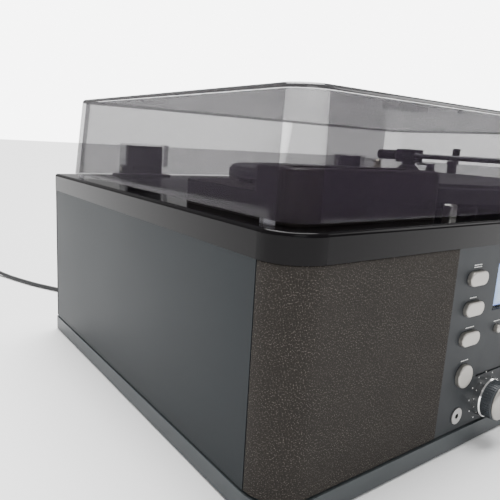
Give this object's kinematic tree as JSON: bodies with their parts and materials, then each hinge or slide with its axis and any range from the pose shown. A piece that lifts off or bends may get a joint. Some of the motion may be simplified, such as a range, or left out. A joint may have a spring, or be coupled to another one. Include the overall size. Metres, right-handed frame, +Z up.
{
  "type": "turntable record player",
  "caption": "Music centre with a turntable under a hinged smoked lid, front speakers behind cloth, a control panel with knobs and buttons, a disc tray and a cassette slot.",
  "frame": {"origin": "on the resting surface, under the middle of the footprint of the cabinet with its knobs and jacks, cord left out", "axes": "+Z up, the front with the controls faces -Y, +X to the right as seen from the front"},
  "size_m": [0.5646, 0.7475, 0.2387],
  "materials": {
    "side_foil": "satin foil",
    "base_plastic": "moulded",
    "foot_rubber": "matte",
    "rear_board": "painted board",
    "plated_steel": "plated",
    "terminal_plastic": "moulded",
    "baffle_board": "raw board",
    "driver_steel": "black paint",
    "cone_paper": "pressed paper",
    "grille_cloth": "woven",
    "panel_plastic": "fine texture",
    "display_glass": "smoked",
    "display_face": "lit",
    "socket_metal": "dark plated",
    "button_silver": "silver paint",
    "knob_chrome": "polished",
    "knob_grey": "satin",
    "hub_plastic": "moulded",
    "deck_gloss": "piano gloss",
    "platter_paint": "satin paint",
    "mat_felt": "felt",
    "motor_steel": "drawn",
    "pulley_brass": "turned",
    "belt_rubber": "matte",
    "housing_plastic": "fine texture",
    "switch_silver": "silver paint",
    "arm_black": "moulded",
    "arm_metal": "satin",
    "weight_steel": "black paint",
    "smoked_acrylic": "polished",
    "clear_plastic": "polished",
    "hinge_plastic": "moulded",
    "circuit_board": "lacquered",
    "cord_rubber": "satin"
  },
  "bodies": {
    "cabinet": {"base_tray": "base_plastic", "feet": "foot_rubber", "side_boards": "side_foil", "rear_panel": "rear_board", "rear_screws": "plated_steel", "rear_terminals": "terminal_plastic", "speaker_baffles": "baffle_board", "speaker_drivers": "driver_steel", "speaker_cones": "cone_paper", "grille_cloth_left": "grille_cloth", "grille_cloth_right": "grille_cloth", "control_panel": "panel_plastic", "display_window": "display_glass", "display_module": "display_face", "headphone_socket": "socket_metal", "knob_collars": "knob_chrome", "disc_mechanism": "panel_plastic", "top_deck": "deck_gloss", "drive_motor": "motor_steel", "drive_belt": "belt_rubber", "cassette_housing": "housing_plastic", "tonearm_base": "arm_black", "arm_rest": "arm_black", "hinge_bases": "hinge_plastic", "hinge_pins": "plated_steel", "electronics": "circuit_board", "cord_relief": "cord_rubber", "power_cord": "cord_rubber", "cord_coil": "cord_rubber", "power_plug": "cord_rubber"},
    "lid": {"dust_cover": "smoked_acrylic", "lid_fittings": "clear_plastic", "hinge_leaves": "hinge_plastic"},
    "platter": {"platter": "platter_paint", "platter_mat": "mat_felt", "platter_spindle": "plated_steel"},
    "motor_pulley": {"motor_pulley": "pulley_brass"},
    "tonearm_yoke": {"tonearm_yoke": "arm_black"},
    "tonearm": {"tonearm_tube": "arm_metal", "counterweight": "weight_steel", "headshell": "arm_black", "cartridge": "arm_black"},
    "tonearm_lift": {"tonearm_lift": "arm_black"},
    "cue_lever": {"cue_lever": "arm_black"},
    "cassette_key": {"cassette_key": "housing_plastic"},
    "speed_switch": {"speed_switch": "switch_silver"},
    "disc_tray": {"disc_tray": "panel_plastic"},
    "disc_hub": {"disc_hub": "hub_plastic"},
    "disc_pickup": {"disc_pickup": "hub_plastic"},
    "volume_knob": {"volume_knob": "knob_grey"},
    "jog_knob": {"jog_knob": "knob_grey"},
    "source_button": {"source_button": "button_silver"},
    "play_button": {"play_button": "button_silver"},
    "disc_button": {"disc_button": "button_silver"},
    "stop_button": {"stop_button": "button_silver"},
    "radio_button": {"radio_button": "button_silver"},
    "skip_button": {"skip_button": "button_silver"},
    "record_button": {"record_button": "button_silver"},
    "power_button": {"power_button": "button_silver"},
    "display_button": {"display_button": "button_silver"}
  },
  "joints": [
    {"name": "lid_hinge", "type": "hinge", "parent": "cabinet", "child": "lid", "pos_m": [0, 0.17975, 0.1726], "axis": [-1, 0, 0], "range_deg": [0, 62]},
    {"name": "platter_spin", "type": "hinge", "parent": "cabinet", "child": "platter", "pos_m": [0, -0.01625, 0.18], "axis": [0, 0, -1], "continuous": true},
    {"name": "pulley_spin", "type": "hinge", "parent": "cabinet", "child": "motor_pulley", "pos_m": [-0.08556, 0.06931, 0.17], "axis": [0, 0, -1], "continuous": true},
    {"name": "tonearm_swing", "type": "hinge", "parent": "cabinet", "child": "tonearm_yoke", "pos_m": [0.18, 0.08375, 0.195], "axis": [0, 0, -1], "range_deg": [0, 47]},
    {"name": "tonearm_tilt", "type": "hinge", "parent": "tonearm_yoke", "child": "tonearm", "pos_m": [0.18, 0.08375, 0.2035], "axis": [-1, 0, 0], "range_deg": [0, 6]},
    {"name": "cue_lever_turn", "type": "hinge", "parent": "cabinet", "child": "cue_lever", "pos_m": [0.193, 0.05075, 0.1807], "axis": [-1, 0, 0], "range_deg": [0, 60]},
    {"name": "tonearm_lift_slide", "type": "slide", "parent": "cabinet", "child": "tonearm_lift", "axis": [0, 0, 1], "range_m": [0, 0.005]},
    {"name": "cassette_key_press", "type": "slide", "parent": "cabinet", "child": "cassette_key", "axis": [0, 0, -1], "range_m": [0, 0.002], "stiffness_N_per_m": 400},
    {"name": "speed_switch_slide", "type": "slide", "parent": "cabinet", "child": "speed_switch", "axis": [1, 0, 0], "range_m": [0, 0.01]},
    {"name": "disc_tray_slide", "type": "slide", "parent": "cabinet", "child": "disc_tray", "axis": [0, -1, 0], "range_m": [0, 0.125]},
    {"name": "disc_hub_spin", "type": "hinge", "parent": "cabinet", "child": "disc_hub", "pos_m": [0, -0.10665, 0.055], "axis": [0, 0, 1], "continuous": true},
    {"name": "disc_pickup_slide", "type": "slide", "parent": "cabinet", "child": "disc_pickup", "axis": [0, 1, 0], "range_m": [0, 0.034]},
    {"name": "volume_turn", "type": "hinge", "parent": "cabinet", "child": "volume_knob", "pos_m": [-0.049, -0.18125, 0.034], "axis": [0, -1, 0], "range_deg": [-150, 150]},
    {"name": "jog_turn", "type": "hinge", "parent": "cabinet", "child": "jog_knob", "pos_m": [0.049, -0.18125, 0.034], "axis": [0, -1, 0], "continuous": true},
    {"name": "source_button_press", "type": "slide", "parent": "cabinet", "child": "source_button", "axis": [0, 1, 0], "range_m": [0, 0.0012], "stiffness_N_per_m": 300},
    {"name": "play_button_press", "type": "slide", "parent": "cabinet", "child": "play_button", "axis": [0, 1, 0], "range_m": [0, 0.0012], "stiffness_N_per_m": 300},
    {"name": "disc_button_press", "type": "slide", "parent": "cabinet", "child": "disc_button", "axis": [0, 1, 0], "range_m": [0, 0.0012], "stiffness_N_per_m": 300},
    {"name": "stop_button_press", "type": "slide", "parent": "cabinet", "child": "stop_button", "axis": [0, 1, 0], "range_m": [0, 0.0012], "stiffness_N_per_m": 300},
    {"name": "radio_button_press", "type": "slide", "parent": "cabinet", "child": "radio_button", "axis": [0, 1, 0], "range_m": [0, 0.0012], "stiffness_N_per_m": 300},
    {"name": "skip_button_press", "type": "slide", "parent": "cabinet", "child": "skip_button", "axis": [0, 1, 0], "range_m": [0, 0.0012], "stiffness_N_per_m": 300},
    {"name": "record_button_press", "type": "slide", "parent": "cabinet", "child": "record_button", "axis": [0, 1, 0], "range_m": [0, 0.0012], "stiffness_N_per_m": 300},
    {"name": "power_button_press", "type": "slide", "parent": "cabinet", "child": "power_button", "axis": [0, 1, 0], "range_m": [0, 0.0012], "stiffness_N_per_m": 300},
    {"name": "display_button_press", "type": "slide", "parent": "cabinet", "child": "display_button", "axis": [0, 1, 0], "range_m": [0, 0.0012], "stiffness_N_per_m": 300}
  ],
  "couplings": [
    {"joint": "pulley_spin", "follows": "platter_spin", "ratio": 17.273},
    {"joint": "cue_lever_turn", "follows": "tonearm_lift_slide", "rad_per_m": 209.4}
  ]
}
